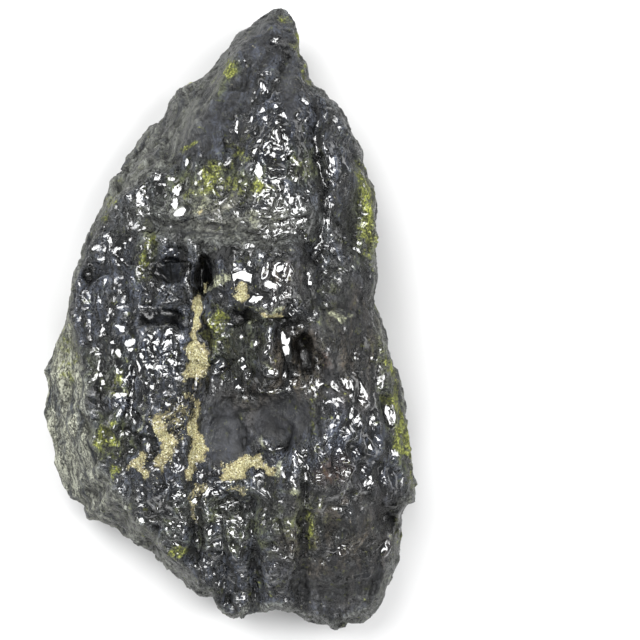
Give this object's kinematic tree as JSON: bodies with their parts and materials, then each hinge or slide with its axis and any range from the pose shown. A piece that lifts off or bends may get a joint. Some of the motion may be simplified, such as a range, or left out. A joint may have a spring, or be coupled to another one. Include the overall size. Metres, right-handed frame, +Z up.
{
  "type": "rough jade stone",
  "caption": "Rough, broken lump of dark green-black jade with a pointed end, a ridged face and a flat back that it lies on.",
  "frame": {"origin": "middle of the bounding box on the plane that the stone lies on", "axes": "+Z up from the flat back through the ridged face, +Y along the length towards the pointed end, +X across"},
  "size_m": [0.121, 0.201, 0.08],
  "materials": {
    "jade": "wet, broken surface, black-green, with fibrous grey skin, yellow-green patches and sandy residue"
  },
  "bodies": {
    "root": {"jade_stone": "jade"}
  },
  "joints": []
}
